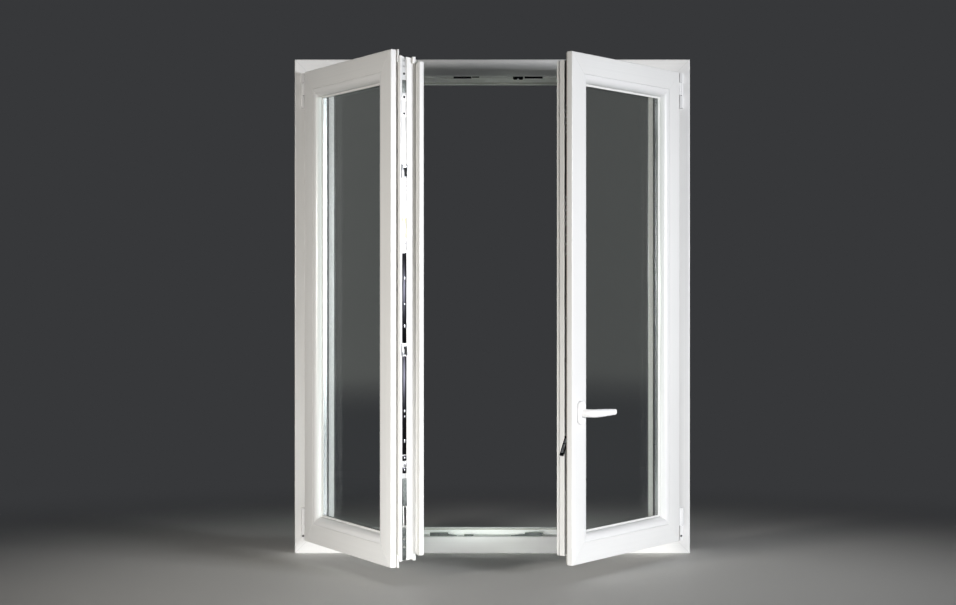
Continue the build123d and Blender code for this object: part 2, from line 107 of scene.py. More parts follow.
# %% A material with its shader set
def new_finish(name, **sockets):
    """A material whose Principled shader has these sockets set."""
    made = bpy.data.materials.new(name)
    made.use_nodes = True
    tree = made.node_tree
    shader = tree.nodes["Principled BSDF"]
    for socket, value in sockets.items():
        shader.inputs[socket.replace("_", " ")].default_value = value
    print("finish:", name)
    return made, tree, shader


# %% [markdown]
# ## Light, backdrop and floor
# White plastic shows its shape only where the light differs from side to side. A key at the far
# right lights the edges of both leaves, a fill at the left their other sides, and a low strip the
# sill. The lights stand low, so that each leaf shades the head between them, as in the picture.

# %% Soft light
HONEYCOMB = 60  # in degrees: the grid before each lamp keeps its light on the window


def softbox(name, place, aim, size, power, tint):
    """A rectangular area light at one point in metres, turned to look at another."""
    lamp = bpy.data.lights.new(name, "AREA")
    lamp.shape = "RECTANGLE"
    lamp.size, lamp.size_y = size
    lamp.energy = power
    lamp.color = colour(tint)[:3]
    lamp.spread = math.radians(HONEYCOMB)
    holder = bpy.data.objects.new(name, lamp)
    bpy.context.scene.collection.objects.link(holder)
    x, y, z = np.array(aim, float) - np.array(place, float)
    holder.rotation_euler = (math.atan2(math.hypot(x, y), -z), 0, math.atan2(-x, y))
    holder.location = place
    holder.visible_transmission = False  # seen through a pane, a lamp would be a white square


# Each light's place, aim and size in metres, power in watts and tint.
LIGHTS = {
    "key_right": ((4.2, -3.6, 1.04), (0, -0.3, 0.78), (1.8, 0.6), 31, "#FAFBFF"),
    "fill_left": ((-2.9, -3.1, 0.98), (-0.1, -0.3, 0.75), (0.6, 0.7), 9.6, "#FFFAF4"),
    "low_strip": ((-0.31, -2.02, 0.1), (0, -0.04, 0.03), (0.7, 0.2), 1.6, "#FFFFFF"),
}
for name, values in LIGHTS.items():
    softbox(name, *values)
print("lights", *LIGHTS)

# %% [markdown]
# The backdrop is dark where the camera looks and a little lighter at both sides behind the
# window. The two panes reflect those sides, and that faint veil is what makes them look like glass.

# %% Backdrop
BACKDROP, SIDES = "#37383A", "#757773"
ACROSS, BEHIND = 0.9, 0.43
LIGHTER_FROM, LIGHTER_TO = 0.86, 0.98


def backdrop_tone(tree, direction, output, far=None):
    """Dark, and lighter where ACROSS |x| + BEHIND y of the direction passes LIGHTER_FROM."""
    part = add(tree, "ShaderNodeSeparateXYZ", links={"Vector": (direction, output)})
    across = add(tree, "ShaderNodeMath", {"operation": "ABSOLUTE"}, links={0: (part, "X")})
    behind = add(tree, "ShaderNodeMath", {"operation": "MULTIPLY"}, {1: BEHIND}, {0: (part, "Y")})
    both = add(tree, "ShaderNodeMath", {"operation": "MULTIPLY_ADD"}, {1: ACROSS},
               {0: (across, "Value"), 2: (behind, "Value")})
    share = add(tree, "ShaderNodeMapRange", {"interpolation_type": "SMOOTHSTEP"},
                {"From Min": LIGHTER_FROM, "From Max": LIGHTER_TO}, {"Value": (both, "Value")})
    if far:
        tree.links.new(far.outputs["Result"], share.inputs["To Max"])
    return add(tree, "ShaderNodeMix", {"data_type": "RGBA"},
               {6: colour(BACKDROP), 7: colour(SIDES)}, {0: (share, "Result")})


world = bpy.data.worlds.new("dark studio")
world.use_nodes = True
tree = world.node_tree
ray = add(tree, "ShaderNodeTexCoord")
tone = backdrop_tone(tree, ray, "Generated")
tree.links.new(tone.outputs[2], tree.nodes["Background"].inputs["Color"])
bpy.context.scene.world = world
print("world", world.name)

# %% [markdown]
# The floor is pale under the window and fades into the backdrop's tone, so that no line shows
# where the two meet.

# %% Shape of the floor
def floor_disc(radius, rings, sectors):
    """Polar grid: x = r cos a, y = r sin a, with r up to the radius and a once round."""
    r = np.linspace(0, 1, rings)[None, :] ** 1.5 * radius
    a = np.linspace(0, 2 * np.pi, sectors, endpoint=False)[:, None]
    points = np.stack([r * np.cos(a), r * np.sin(a), 0 * r * a], -1)
    i, j = np.meshgrid(np.arange(sectors), np.arange(rings - 1), indexing="ij")
    n = (i + 1) % sectors
    quads = np.stack([i * rings + j, i * rings + j + 1, n * rings + j + 1, n * rings + j], -1)
    return points.reshape(-1, 3), quads.reshape(-1, 4)


# %% Floor
FLOOR_RADIUS, RINGS, SECTORS = 16, 40, 96
FADE, SIDE_TONE = (0.45, 2.3), (4.5, 9)  # where each begins and ends, in metres from the window
PALE = "#D9D8D4"
POOL_PLACE, POOL_SHAPE = (0, 0.4, 0), (0.72, 1, 1)  # the pale pool lies forward and is longer across

points, quads = floor_disc(FLOOR_RADIUS, RINGS, SECTORS)
floor_mesh = bpy.data.meshes.new("floor")
floor_mesh.from_pydata(points.tolist(), [], quads.tolist())
floor = bpy.data.objects.new("floor", floor_mesh)
bpy.context.scene.collection.objects.link(floor)

floor_paint, tree, shader = new_finish("pale studio floor fading into the backdrop", Roughness=0.65)
place = add(tree, "ShaderNodeTexCoord")
centred = add(tree, "ShaderNodeMapping", values={"Location": POOL_PLACE, "Scale": POOL_SHAPE},
              links={"Vector": (place, "Object")})
far = add(tree, "ShaderNodeVectorMath", {"operation": "LENGTH"}, links={"Vector": (centred, "Vector")})
fade = add(tree, "ShaderNodeMapRange", {"interpolation_type": "SMOOTHERSTEP"},
           {"From Min": FADE[0], "From Max": FADE[1]}, {"Value": (far, "Value")})
tone = add(tree, "ShaderNodeMix", {"data_type": "RGBA"}, {6: colour(PALE), 7: colour("#000000")},
           {0: (fade, "Result")})
tree.links.new(tone.outputs[2], shader.inputs["Base Color"])
outward = add(tree, "ShaderNodeVectorMath", {"operation": "NORMALIZE"},
              links={"Vector": (place, "Object")})
beyond = add(tree, "ShaderNodeMapRange", {"interpolation_type": "SMOOTHSTEP"},
             {"From Min": SIDE_TONE[0], "From Max": SIDE_TONE[1]}, {"Value": (far, "Value")})
side_tone = backdrop_tone(tree, outward, "Vector", beyond)
glow = add(tree, "ShaderNodeEmission", links={"Color": (side_tone, 2)})
blend = add(tree, "ShaderNodeMixShader",
            links={0: (fade, "Result"), 1: (shader, "BSDF"), 2: (glow, "Emission")})
tree.links.new(blend.outputs[0], tree.nodes["Material Output"].inputs["Surface"])
floor.data.materials.append(floor_paint)
print("floor", len(points), "points")

# %% [markdown]
# ## Sizes
# Everything below is worked out in millimetres, with the leaves closed, as in a maker's drawing,
# and turned to where the leaf stands open at the very end. Depth d is counted outward from the
# leaf's room face, and height s inward from its edge, so one drawing of a section serves all of
# its bars. On the left leaf's edge, w is the distance beyond that edge.

# %% Sizes of the window, in millimetres
MM = 0.001
WIDTH, HEIGHT, DEPTH = 1200, 1500, 70
REVEAL, MEETING_GAP, FACE_OFFSET = 43, 5, 22
LEAF_FACE = -DEPTH / 2 - FACE_OFFSET
FLANGE_HEIGHT, FLANGE_THICK, BODY_DEPTH = 20, 17, 67
STILE, SIGHT, REBATE = 57, 81, 45
GROOVE_NEAR, GROOVE_FAR, GROOVE_DEEP = 29, 41, 9
LEFT_OPEN, RIGHT_OPEN = 58, 52  # in degrees
AXIS_X, AXIS_Y = WIDTH / 2 - REVEAL + 14, LEAF_FACE + 3  # the hinges
LEFT_BOX = (-WIDTH / 2 + REVEAL, -MEETING_GAP / 2, REVEAL, HEIGHT - REVEAL)
RIGHT_BOX = (MEETING_GAP / 2, WIDTH / 2 - REVEAL, REVEAL, HEIGHT - REVEAL)
print("leaf", LEFT_BOX[1] - LEFT_BOX[0], "by", LEFT_BOX[3] - LEFT_BOX[2], "mm")


# %% Turn a leaf open
def swing(points, side):
    """Turn points of a closed leaf about its hinge axis: (x, y) times the matrix of the angle."""
    sign = -1 if side == "left" else 1
    turn = math.radians(sign * (LEFT_OPEN if side == "left" else RIGHT_OPEN))
    axis = np.array([sign * AXIS_X, AXIS_Y])
    c, s = math.cos(turn), math.sin(turn)
    level = (points[..., :2] - axis) @ np.array([[c, s], [-s, c]]) + axis
    return np.concatenate([level, points[..., 2:]], -1)


# %% [markdown]
# ## How the pieces are shaped
# Each new piece is a grid of points. Its rows run along a path and its columns run round a
# section, so a bar, a ring or a turned screw differ only in the formula of the grid. The grid
# also gives the piece its UV map in metres, along and round, which the finishes follow.

# %% Soft corners
def soften(corners, radii, steps=4):
    """Round the corners of a closed outline: corner p becomes the curve
    (1-q)^2 a + 2q(1-q) p + q^2 b between points a and b one radius away on its two sides."""
    p = np.array(corners, float)
    r = np.broadcast_to(np.array(radii, float), len(p))[:, None]
    before, after = np.roll(p, 1, 0) - p, np.roll(p, -1, 0) - p
    a = p + before / np.linalg.norm(before, axis=1, keepdims=True) * r
    b = p + after / np.linalg.norm(after, axis=1, keepdims=True) * r
    q = np.linspace(0, 1, steps + 1)[None, :, None]
    curve = (1 - q) ** 2 * a[:, None] + 2 * q * (1 - q) * p[:, None] + q**2 * b[:, None]
    return curve[(r > 0) | (np.arange(steps + 1) == 0)]


# %% Shrink an outline
def shrink(outline, by):
    """Move each point of a closed outline inward, against the mean normal of its two sides."""
    side = np.roll(outline, -1, 0) - outline
    normal = np.stack([side[:, 1], -side[:, 0]], 1)
    normal /= np.maximum(np.linalg.norm(normal, axis=1, keepdims=True), 1e-9)
    mean = normal + np.roll(normal, 1, 0)
    mean /= np.maximum(np.linalg.norm(mean, axis=1, keepdims=True), 1e-9)
    ahead = np.roll(outline, -1, 0)
    area = np.sum(outline[:, 0] * ahead[:, 1] - outline[:, 1] * ahead[:, 0])
    return outline - np.sign(area) * mean * by


# %% A ring of four welded bars
def welded_ring(outline, box, seam, sink):
    """Carry a (depth, height) outline round a box. A point of height s stands at corner + s times
    the inward diagonal, shifted along the bar that comes in or goes out, and the section is
    shrunk by sink within the seam, so that a fine groove marks the mitre."""
    left, right, low, high = box
    corner = np.array([[left, low], [right, low], [right, high], [left, high]], float)
    inward = np.array([[1, 1], [-1, 1], [-1, -1], [1, -1]], float)
    ahead = np.array([[1, 0], [0, 1], [-1, 0], [0, -1]], float)
    behind = np.roll(ahead, 1, 0)
    shift = np.array([-seam, -seam * 0.3, seam * 0.3, seam])
    way = np.where(shift[None, :, None] < 0, behind[:, None], ahead[:, None])
    start = corner[:, None] + way * shift[None, :, None]
    section = np.stack([outline, shrink(outline, sink), shrink(outline, sink), outline])
    flat = start[:, :, None] + inward[:, None, None] * section[None, :, :, 1:]
    deep = np.broadcast_to(LEAF_FACE + section[None, :, :, 0], flat.shape[:3])
    return np.stack([flat[..., 0], deep, flat[..., 1]], -1).reshape(-1, len(outline), 3)


# %% A bar that stands upright
def upright(outline, low, high):
    """Carry an (x, y) outline up from low to high: rows (x, y, z)."""
    z = np.linspace(low, high, 2)[:, None, None]
    flat = np.broadcast_to(outline[None], (2, *outline.shape))
    return np.concatenate([flat, np.broadcast_to(z, (2, len(outline), 1))], -1)


# %% A block with round edges
def block(x, y, z, edge, steps=3):
    """Half sizes plus a ball: point = h * sign(n) + edge * n for each direction n of a sphere,
    with every sign change doubled, so that the flat sides open between the round edges."""
    limits = np.array([x, y, z], float)
    centre, half = limits.mean(1), np.abs(limits[:, 1] - limits[:, 0]) / 2
    edge = min(edge, half.min() * 0.98)
    quarter = np.linspace(0, np.pi / 2, steps + 1)
    turn = (quarter[None] + np.arange(4)[:, None] * np.pi / 2).ravel()
    rise = np.concatenate([quarter - np.pi / 2, quarter])
    sign_x = np.repeat([1, -1, -1, 1], steps + 1)
    sign_y = np.repeat([1, 1, -1, -1], steps + 1)
    sign_z = np.repeat([-1, 1], steps + 1)
    rise, sign_z = rise[:, None], sign_z[:, None]
    n = np.stack([np.cos(rise) * np.cos(turn), np.cos(rise) * np.sin(turn), np.sin(rise) + 0 * turn], -1)
    sign = np.stack([sign_x + 0 * sign_z, sign_y + 0 * sign_z, sign_z + 0 * sign_x], -1)
    return centre + (half - edge) * sign + edge * n


# %% A turned part
def turned(profile, place, axis, sides=20):
    """Spin a (radius, height) profile about an axis: place + r (cos a u + sin a v) + h axis."""
    axis = np.array(axis, float)
    axis /= np.linalg.norm(axis)
    u = np.cross(axis, [0.13, 0.27, 0.95])
    u /= np.linalg.norm(u)
    v = np.cross(axis, u)
    a = np.linspace(0, 2 * np.pi, sides, endpoint=False)[None, :, None]
    r, h = np.array(profile, float).T[:, :, None, None]
    return np.array(place, float) + r * (np.cos(a) * u + np.sin(a) * v) + h * axis


# %% From grids to a piece
def piece(name, grids, body, finish, side=None, loop=False, smooth=35):
    """Join grids of (row, column) points into one object. Quads run from row to row and round
    each section, an open grid gets a face at each end, and the points are turned to rest."""
    points, faces, spots, start = [], [], [], 0
    for grid in grids:
        rows, columns = grid.shape[:2]
        i = np.arange(rows if loop else rows - 1)[:, None]
        j = np.arange(columns)[None]
        corner_i = np.stack([i + 0 * j, i + 1 + 0 * j, i + 1 + 0 * j, i + 0 * j], -1).reshape(-1, 4)
        corner_j = np.stack([j + 0 * i, j + 0 * i, j + 1 + 0 * i, j + 1 + 0 * i], -1).reshape(-1, 4)
        faces += (start + (corner_i % rows) * columns + corner_j % columns).tolist()
        step_i = np.linalg.norm(np.diff(grid, axis=0, append=grid[:1]), axis=-1).max(1)
        step_j = np.linalg.norm(np.diff(grid, axis=1, append=grid[:, :1]), axis=-1).max(0)
        along = np.concatenate([[0], np.cumsum(step_i)]) * MM
        around = np.concatenate([[0], np.cumsum(step_j)]) * MM
        spots.append(np.stack([along[corner_i], around[corner_j]], -1).reshape(-1, 2))
        if not loop:
            ends = start + np.array([[0], [rows - 1]]) * columns + np.arange(columns)
            faces += [ends[0][::-1].tolist(), ends[1].tolist()]
            spots.append(np.zeros((2 * columns, 2)))
        points.append(grid.reshape(-1, 3))
        start += rows * columns
    points = np.concatenate(points)
    points = swing(points, side) if side else points
    mesh = bpy.data.meshes.new(name)
    mesh.from_pydata((points * MM).tolist(), [], faces)
    mesh.uv_layers.new(name="along_round").data.foreach_set("uv", np.concatenate(spots).ravel())
    tidy = bmesh.new()
    tidy.from_mesh(mesh)
    bmesh.ops.remove_doubles(tidy, verts=tidy.verts, dist=1e-6)
    bmesh.ops.recalc_face_normals(tidy, faces=tidy.faces)
    tidy.to_mesh(mesh)
    tidy.free()
    mesh.shade_smooth()
    mesh.set_sharp_from_angle(angle=math.radians(smooth))
    made = bpy.data.objects.new(name, mesh)
    bpy.context.scene.collection.objects.link(made)
    mesh.materials.append(finish)
    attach(made, body)
    print(name, len(mesh.polygons), "faces")
    return made

# %% [markdown]
# ## White plastic
# PVC-U is chalk white all through, because titanium dioxide is mixed in to stop sunlight. It
# leaves the die with a satin skin and faint lines along its length. The lines are drawn as noise
# stretched along the bar, a few times coarser than the real ones, which are finer than a pixel.

# %% Lines of the die
LINES, LINE_RUN, CLOUDS = per_metre(3.33), 1.5, 6  # marks a metre: across a bar, along it, and slow
PLASTIC_IOR, SATIN = 1.53, 0.3
CHALK_WHITE = "#F4F4F2"


def die_lines(made, tree, shader, drawn, tint, rough):
    """The faint lines of the die and a slow cloudiness, from one stretched noise and one plain."""
    lines = add(tree, "ShaderNodeTexNoise", values={"Scale": 1.0, "Detail": 3},
                links={"Vector": (drawn, "Vector")})
    place = add(tree, "ShaderNodeTexCoord")
    cloud = add(tree, "ShaderNodeTexNoise", values={"Scale": CLOUDS, "Detail": 2},
                links={"Vector": (place, "Object")})
    middle = {"From Min": 0.3, "From Max": 0.7, "To Max": 1.0}
    shade = add(tree, "ShaderNodeMapRange", values=middle | {"To Min": 0.965},
                links={"Value": (lines, "Fac")})
    soft = add(tree, "ShaderNodeMapRange", values=middle | {"To Min": 0.975},
               links={"Value": (cloud, "Fac")})
    both = add(tree, "ShaderNodeMath", {"operation": "MULTIPLY"},
               links={0: (shade, "Result"), 1: (soft, "Result")})
    tone = add(tree, "ShaderNodeMix", {"data_type": "RGBA"}, {6: colour("#000000"), 7: colour(tint)},
               {0: (both, "Value")})
    tree.links.new(tone.outputs[2], shader.inputs["Base Color"])
    gloss = add(tree, "ShaderNodeMapRange", values={"To Min": rough + 0.05, "To Max": rough - 0.05},
                links={"Value": (lines, "Fac")})
    tree.links.new(gloss.outputs["Result"], shader.inputs["Roughness"])
    relief = add(tree, "ShaderNodeBump", values={"Strength": 0.25, "Distance": 0.2 * MM},
                 links={"Height": (lines, "Fac")})
    tree.links.new(relief.outputs["Normal"], shader.inputs["Normal"])
    return made


# %% Extruded white plastic, on a piece with its own UV map
def extruded(name, tint=CHALK_WHITE, rough=SATIN):
    """Satin PVC-U: noise on (along, round) stretched 200 to 1, in colour, roughness and relief."""
    made, tree, shader = new_finish(name, IOR=PLASTIC_IOR)
    place = add(tree, "ShaderNodeUVMap", {"uv_map": "along_round"})
    drawn = add(tree, "ShaderNodeMapping", values={"Scale": (LINE_RUN, LINES, 1)},
                links={"Vector": (place, "UV")})
    return die_lines(made, tree, shader, drawn, tint, rough)


pvc = extruded("extruded white PVC-U, satin")
pvc_bead = extruded("extruded white PVC-U bead, slightly glossier", "#F6F6F5", 0.25)

# %% [markdown]
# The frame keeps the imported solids, which have no UV map, so its lines follow the model's own
# coordinates: across for the sill and head, upright for the jambs. The weld seam lies where the
# distance from the side equals the distance from the end, and is drawn as a hairline there.

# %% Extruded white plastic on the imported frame
def extruded_frame(name, stretch):
    """Satin PVC-U on Object coordinates. Seam: | (W/2 - |x|) - (H/2 - |z - H/2|) | under 1 mm."""
    made, tree, shader = new_finish(name, IOR=PLASTIC_IOR)
    place = add(tree, "ShaderNodeTexCoord")
    drawn = add(tree, "ShaderNodeMapping", values={"Scale": stretch},
                links={"Vector": (place, "Object")})
    made = die_lines(made, tree, shader, drawn, CHALK_WHITE, SATIN)
    relief = shader.inputs["Normal"].links[0].from_node
    tone = shader.inputs["Base Color"].links[0].from_node
    spot = add(tree, "ShaderNodeSeparateXYZ", links={"Vector": (place, "Object")})
    across = add(tree, "ShaderNodeMath", {"operation": "ABSOLUTE"}, links={0: (spot, "X")})
    middle = add(tree, "ShaderNodeMath", {"operation": "SUBTRACT"}, {1: HEIGHT / 2 * MM},
                 {0: (spot, "Z")})
    upward = add(tree, "ShaderNodeMath", {"operation": "ABSOLUTE"}, links={0: (middle, "Value")})
    gap = add(tree, "ShaderNodeMath", {"operation": "SUBTRACT"},
              links={0: (across, "Value"), 1: (upward, "Value")})
    level = add(tree, "ShaderNodeMath", {"operation": "ADD"}, {1: (HEIGHT - WIDTH) / 2 * MM},
                {0: (gap, "Value")})
    away = add(tree, "ShaderNodeMath", {"operation": "ABSOLUTE"}, links={0: (level, "Value")})
    seam = add(tree, "ShaderNodeMapRange", {"interpolation_type": "SMOOTHSTEP"},
               {"From Min": 0.4 * MM, "From Max": 1.4 * MM, "To Min": 0.86, "To Max": 1.0},
               {"Value": (away, "Value")})
    dim = add(tree, "ShaderNodeVectorMath", {"operation": "SCALE"},
              links={0: (tone, 2), "Scale": (seam, "Result")})
    tree.links.new(dim.outputs["Vector"], shader.inputs["Base Color"])
    groove = add(tree, "ShaderNodeBump", values={"Strength": 0.6, "Distance": 0.6 * MM},
                 links={"Height": (seam, "Result"), "Normal": (relief, "Normal")})
    tree.links.new(groove.outputs["Normal"], shader.inputs["Normal"])
    return made


pvc_across = extruded_frame("extruded white PVC-U of sill and head", (LINE_RUN, LINES, LINES))
pvc_upright = extruded_frame("extruded white PVC-U of the jambs", (LINES, LINES, LINE_RUN))

# %% [markdown]
# ## Rubber, glass and metal
# The seals are a pale grey rubber, welded on as the bars come out of the die, and give a matt
# line between two satin faces. The gaskets at the glass are white inside and black outside. The
# glass is float glass, so clear that the eye only finds its reflections and a trace of green. The
# spacer between the panes is rolled aluminium, whose smooth streaks mirror the dark backdrop.

# %% Rubber
RUBBER_GRAIN = per_metre(0.833)  # the real grain is finer than a pixel, so it is drawn coarser


def moulded_rubber(name, tint, rough=0.55):
    """Matt EPDM: a fine grain in colour and relief."""
    made, tree, shader = new_finish(name, IOR=1.5, Roughness=rough)
    place = add(tree, "ShaderNodeTexCoord")
    grain = add(tree, "ShaderNodeTexNoise", values={"Scale": RUBBER_GRAIN, "Detail": 2},
                links={"Vector": (place, "Object")})
    tone = add(tree, "ShaderNodeMix", {"data_type": "RGBA"}, {6: colour(tint), 7: colour("#FFFFFF")})
    part = add(tree, "ShaderNodeMapRange", values={"To Min": 0.0, "To Max": 0.12},
               links={"Value": (grain, "Fac")})
    tree.links.new(part.outputs["Result"], tone.inputs[0])
    tree.links.new(tone.outputs[2], shader.inputs["Base Color"])
    relief = add(tree, "ShaderNodeBump", values={"Strength": 0.3, "Distance": 0.1 * MM},
                 links={"Height": (grain, "Fac")})
    tree.links.new(relief.outputs["Normal"], shader.inputs["Normal"])
    return made


seal_rubber = moulded_rubber("pale grey co-extruded EPDM seal", "#B9B7B0")
lip_rubber = moulded_rubber("white co-extruded glazing gasket", "#EDEDEA", 0.4)
black_rubber = moulded_rubber("black EPDM glazing gasket", "#1B1C1C", 0.45)

# %% Float glass
glass, tree, shader = new_finish("clear float glass", IOR=1.52, Roughness=0.0, Transmission_Weight=1.0)
place = add(tree, "ShaderNodeTexCoord")
ream = add(tree, "ShaderNodeTexNoise", values={"Scale": 3, "Detail": 1},
           links={"Vector": (place, "Object")})
tone = add(tree, "ShaderNodeMix", {"data_type": "RGBA"}, {6: colour("#FAFCFB"), 7: colour("#FDFEFE")},
           {0: (ream, "Fac")})
tree.links.new(tone.outputs[2], shader.inputs["Base Color"])
ray = add(tree, "ShaderNodeLightPath")
film = add(tree, "ShaderNodeBsdfTransparent", values={"Color": colour("#F4F8F6")})
# Light of the lamps, and light scattered by the plastic, goes straight through the panes, which
# would otherwise blur it and count it twice.
soft = add(tree, "ShaderNodeMixShader",
           links={0: (ray, "Is Diffuse Ray"), 1: (shader, "BSDF"), 2: (film, "BSDF")})
through = add(tree, "ShaderNodeMixShader",
              links={0: (ray, "Is Shadow Ray"), 1: (soft, 0), 2: (film, "BSDF")})
tree.links.new(through.outputs[0], tree.nodes["Material Output"].inputs["Surface"])


# %% [markdown]
# Each metal of the locks is known by how it takes the light. Plated zinc is a soft grey mirror,
# nearly white where a lamp meets it. A die casting is dull and grained, the polished bars are
# almost black and show only their highlights, and passivation leaves one bar a pale yellow.

# %% Metals
def metal(name, tint, worn, rough, grain, stretch=(1, 1, 1), relief_by=0.2):
    """A metal whose tint and roughness wander between two values by one stretched noise, with
    its grain in millimetres. The real grain is finer than a pixel, so it is drawn coarser."""
    made, tree, shader = new_finish(name, Metallic=1.0)
    place = add(tree, "ShaderNodeTexCoord")
    drawn = add(tree, "ShaderNodeMapping", values={"Scale": stretch},
                links={"Vector": (place, "Object")})
    mark = add(tree, "ShaderNodeTexNoise", values={"Scale": per_metre(grain), "Detail": 4},
               links={"Vector": (drawn, "Vector")})
    tone = add(tree, "ShaderNodeMix", {"data_type": "RGBA"}, {6: colour(tint), 7: colour(worn)},
               {0: (mark, "Fac")})
    tree.links.new(tone.outputs[2], shader.inputs["Base Color"])
    gloss = add(tree, "ShaderNodeMapRange", values={"To Min": rough[0], "To Max": rough[1]},
                links={"Value": (mark, "Fac")})
    tree.links.new(gloss.outputs["Result"], shader.inputs["Roughness"])
    relief = add(tree, "ShaderNodeBump", values={"Strength": relief_by, "Distance": 0.2 * MM},
                 links={"Height": (mark, "Fac")})
    tree.links.new(relief.outputs["Normal"], shader.inputs["Normal"])
    return made


ROLLED, DRAWN, PULLED = (1, 1, 0.02), (1, 1, 0.1), (1, 1, 0.2)  # grain stretched up the bar
spacer_metal = metal("rolled mill aluminium spacer", "#ECEEF0", "#DCDFE2", (0.13, 0.18), 3.33, ROLLED, 0.0)
zinc = metal("zinc-plated steel", "#A9ABAD", "#8C8E92", (0.2, 0.42), 6.25)
die_cast = metal("grey zinc die casting", "#747876", "#363A38", (0.4, 0.6), 6.67, relief_by=0.9)
dark_steel = metal("dark polished steel", "#2A2A2E", "#16161A", (0.12, 0.3), 11.1, DRAWN)
yellow_zinc = metal("pale yellow passivated steel", "#DDD69A", "#CFC994", (0.3, 0.45), 8.33, PULLED)
# The strip and the finger loop are the same zinc as the catches, painted lighter as painted light for the
# glare they take.
zinc_painted_lit = metal("zinc-plated strip with painted light", "#EFEFED", "#D9DADA", (0.3, 0.46), 7.14)
# Near black, this zinc also serves as painted shade deep in the right leaf's groove, on its face plate and on
# the bar in it.
black_zinc_and_groove_shade = metal("black zinc-plated keep and painted groove shade", "#0E0E0F", "#1E1E20", (0.4, 0.6), 4.55, relief_by=0.5)
# Holes, slots, pockets and gaps are drawn as near-black sheets and blocks: painted shade, where no light
# reaches in.
painted_hole_shade = moulded_rubber("unlit hole", "#050505", 0.9)


# %% [markdown]
# The hinges and the handle are metal under a white powder coat. Baked powder flows into a skin
# with a faint orange peel, about 2 mm from dimple to dimple, which a soft highlight shows.

# %% White powder coat
PEEL = per_metre(2)


def powder_coat(name, tint, rough):
    """White coat with orange peel: one noise in relief and a trace of it in roughness."""
    made, tree, shader = new_finish(name, IOR=1.5)
    place = add(tree, "ShaderNodeTexCoord")
    peel = add(tree, "ShaderNodeTexNoise", values={"Scale": PEEL, "Detail": 2},
               links={"Vector": (place, "Object")})
    tone = add(tree, "ShaderNodeMix", {"data_type": "RGBA"}, {6: colour(tint), 7: colour("#FDFDFD")},
               {0: (peel, "Fac")})
    tree.links.new(tone.outputs[2], shader.inputs["Base Color"])
    gloss = add(tree, "ShaderNodeMapRange", values={"To Min": rough - 0.04, "To Max": rough + 0.04},
                links={"Value": (peel, "Fac")})
    tree.links.new(gloss.outputs["Result"], shader.inputs["Roughness"])
    relief = add(tree, "ShaderNodeBump", values={"Strength": 0.15, "Distance": 0.2 * MM},
                 links={"Height": (peel, "Fac")})
    tree.links.new(relief.outputs["Normal"], shader.inputs["Normal"])
    return made


hinge_coat = powder_coat("white powder-coated hinge", "#F1F1F0", 0.38)
handle_coat = powder_coat("white powder-coated cast aluminium handle", "#F6F6F6", 0.3)

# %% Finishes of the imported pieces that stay
KEPT = {"pvc": pvc_upright, "gasket": seal_rubber, "glass": glass, "spacer": spacer_metal,
        "hardware": zinc, "hinge": hinge_coat, "handle": handle_coat}
# On the right face plate the near-black zinc is painted shade, deep in the right leaf's groove.
OWN = {"frame_sill": pvc_across, "frame_head": pvc_across, "head_strikers": black_zinc_and_groove_shade,
       "sill_strikers": die_cast, "right_face_plate": black_zinc_and_groove_shade}
for part in frame["record"]["subparts"]:
    slots = frame["nodes"][part["node"]].data.materials
    slots.clear()
    slots.append(OWN.get(part["node"], KEPT[part["material_slot"]]))
print("finishes", len(bpy.data.materials))


# %% [markdown]
# ## Welded leaves
# A leaf is four lengths of one profile. Their ends are melted on a hot plate and pressed together,
# and the bead of melted plastic is cut off, which leaves a fine groove along each mitre. The
# section has the flange that laps the frame, the groove for the locks and the glass rebate.

# %% Leaf section, as (depth, height, corner radius)
SEAL_NEAR, SEAL_FAR, SEAL_DEEP = 56.8, 61, 6
MITRE, MITRE_DEEP = 0.9, 0.5  # half the width of the groove along the weld, and its depth
GROOVE_FLOOR = FLANGE_HEIGHT + GROOVE_DEEP
SEAL_FLOOR = FLANGE_HEIGHT + SEAL_DEEP
LEAF_SECTION = np.array([
    (0, 0, 2), (0, STILE, 0.5), (REBATE, STILE, 0), (REBATE, SIGHT, 1), (BODY_DEPTH, SIGHT - 5, 2),
    (BODY_DEPTH, FLANGE_HEIGHT, 0.8), (SEAL_FAR, FLANGE_HEIGHT, 0.3), (SEAL_FAR, SEAL_FLOOR, 0),
    (SEAL_NEAR, SEAL_FLOOR, 0), (SEAL_NEAR, FLANGE_HEIGHT, 0.3), (GROOVE_FAR, FLANGE_HEIGHT, 0.5),
    (GROOVE_FAR, GROOVE_FLOOR, 0), (GROOVE_NEAR, GROOVE_FLOOR, 0), (GROOVE_NEAR, FLANGE_HEIGHT, 0.5),
    (FLANGE_THICK, FLANGE_HEIGHT, 0.5), (FLANGE_THICK, 0, 0.8),
])
leaf_outline = soften(LEAF_SECTION[:, :2], LEAF_SECTION[:, 2])
for side, box in (("left", LEFT_BOX), ("right", RIGHT_BOX)):
    ring = welded_ring(leaf_outline, box, MITRE, MITRE_DEEP)
    made = piece(f"{side}_welded_leaf", [ring], f"{side}_leaf", pvc, side, loop=True)
    bars = [f"{side}_{bar}" for bar in ("stile_hinge", "stile_lock", "rail_top", "rail_bottom")]
    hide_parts(*bars)

# %% [markdown]
# ## Glazing beads
# Four beads snap into the leaf and press the glass against its outer lip. Their face is one soft
# curve, which takes the long highlight of the picture, and they meet in an open hairline mitre.

